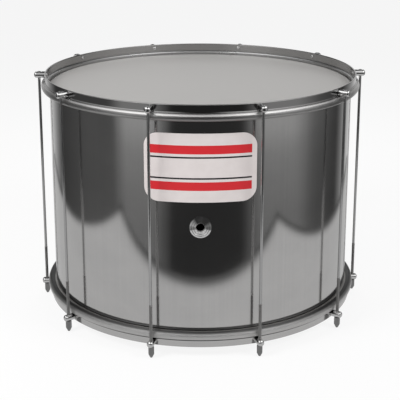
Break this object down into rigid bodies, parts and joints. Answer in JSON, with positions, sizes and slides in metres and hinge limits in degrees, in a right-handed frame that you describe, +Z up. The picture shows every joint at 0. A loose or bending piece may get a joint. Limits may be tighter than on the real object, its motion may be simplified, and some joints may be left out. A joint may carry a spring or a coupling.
{
  "type": "drum",
  "caption": "Two-headed cylindrical bass drum: metal shell, film heads held by counterhoops, and tension rods outside the shell whose nuts are its feet.",
  "frame": {"origin": "on the floor under the drum's axis, at the bottom centre of its box", "axes": "+Z up along the drum's axis, -Y towards the side with the vent"},
  "size_m": [0.6736, 0.647, 0.4826],
  "materials": {
    "shell": "polished sheet with a fine grain",
    "film": "smooth milky film",
    "flesh_hoop": "satin",
    "counterhoop": "polished plating",
    "lug": "polished plating",
    "rod": "drawn bar with a rolled thread",
    "nut": "dull plating",
    "vent": "polished plating",
    "lock_ring": "plated"
  },
  "bodies": {
    "drum": {"shell": "shell", "top_head": "film", "bottom_head": "film", "top_flesh_hoop": "flesh_hoop", "bottom_flesh_hoop": "flesh_hoop", "top_counterhoop": "counterhoop", "bottom_counterhoop": "counterhoop", "vent_flange": "vent", "vent_lock_ring": "lock_ring", "upper_lug_01": "lug", "upper_lug_02": "lug", "upper_lug_03": "lug", "upper_lug_04": "lug", "upper_lug_05": "lug", "upper_lug_06": "lug", "upper_lug_07": "lug", "upper_lug_08": "lug", "upper_lug_09": "lug", "upper_lug_10": "lug", "lower_lug_01": "lug", "lower_lug_02": "lug", "lower_lug_03": "lug", "lower_lug_04": "lug", "lower_lug_05": "lug", "lower_lug_06": "lug", "lower_lug_07": "lug", "lower_lug_08": "lug", "lower_lug_09": "lug", "lower_lug_10": "lug", "tension_rod_01": "rod", "tension_rod_02": "rod", "tension_rod_03": "rod", "tension_rod_04": "rod", "tension_rod_05": "rod", "tension_rod_06": "rod", "tension_rod_07": "rod", "tension_rod_08": "rod", "tension_rod_09": "rod", "tension_rod_10": "rod"},
    "nut_01": {"tuning_nut_01": "nut"},
    "nut_02": {"tuning_nut_02": "nut"},
    "nut_03": {"tuning_nut_03": "nut"},
    "nut_04": {"tuning_nut_04": "nut"},
    "nut_05": {"tuning_nut_05": "nut"},
    "nut_06": {"tuning_nut_06": "nut"},
    "nut_07": {"tuning_nut_07": "nut"},
    "nut_08": {"tuning_nut_08": "nut"},
    "nut_09": {"tuning_nut_09": "nut"},
    "nut_10": {"tuning_nut_10": "nut"}
  },
  "joints": [
    {"name": "nut_01_turn", "type": "hinge", "parent": "drum", "child": "nut_01", "pos_m": [0.1105, -0.30777, 0.0218], "axis": [0, 0, 1], "continuous": true},
    {"name": "nut_02_turn", "type": "hinge", "parent": "drum", "child": "nut_02", "pos_m": [0.2703, -0.18404, 0.0218], "axis": [0, 0, 1], "continuous": true},
    {"name": "nut_03_turn", "type": "hinge", "parent": "drum", "child": "nut_03", "pos_m": [0.32685, 0.00999, 0.0218], "axis": [0, 0, 1], "continuous": true},
    {"name": "nut_04_turn", "type": "hinge", "parent": "drum", "child": "nut_04", "pos_m": [0.25855, 0.2002, 0.0218], "axis": [0, 0, 1], "continuous": true},
    {"name": "nut_05_turn", "type": "hinge", "parent": "drum", "child": "nut_05", "pos_m": [0.0915, 0.31394, 0.0218], "axis": [0, 0, 1], "continuous": true},
    {"name": "nut_06_turn", "type": "hinge", "parent": "drum", "child": "nut_06", "pos_m": [-0.1105, 0.30777, 0.0218], "axis": [0, 0, 1], "continuous": true},
    {"name": "nut_07_turn", "type": "hinge", "parent": "drum", "child": "nut_07", "pos_m": [-0.2703, 0.18404, 0.0218], "axis": [0, 0, 1], "continuous": true},
    {"name": "nut_08_turn", "type": "hinge", "parent": "drum", "child": "nut_08", "pos_m": [-0.32685, -0.00999, 0.0218], "axis": [0, 0, 1], "continuous": true},
    {"name": "nut_09_turn", "type": "hinge", "parent": "drum", "child": "nut_09", "pos_m": [-0.25855, -0.2002, 0.0218], "axis": [0, 0, 1], "continuous": true},
    {"name": "nut_10_turn", "type": "hinge", "parent": "drum", "child": "nut_10", "pos_m": [-0.0915, -0.31394, 0.0218], "axis": [0, 0, 1], "continuous": true}
  ]
}
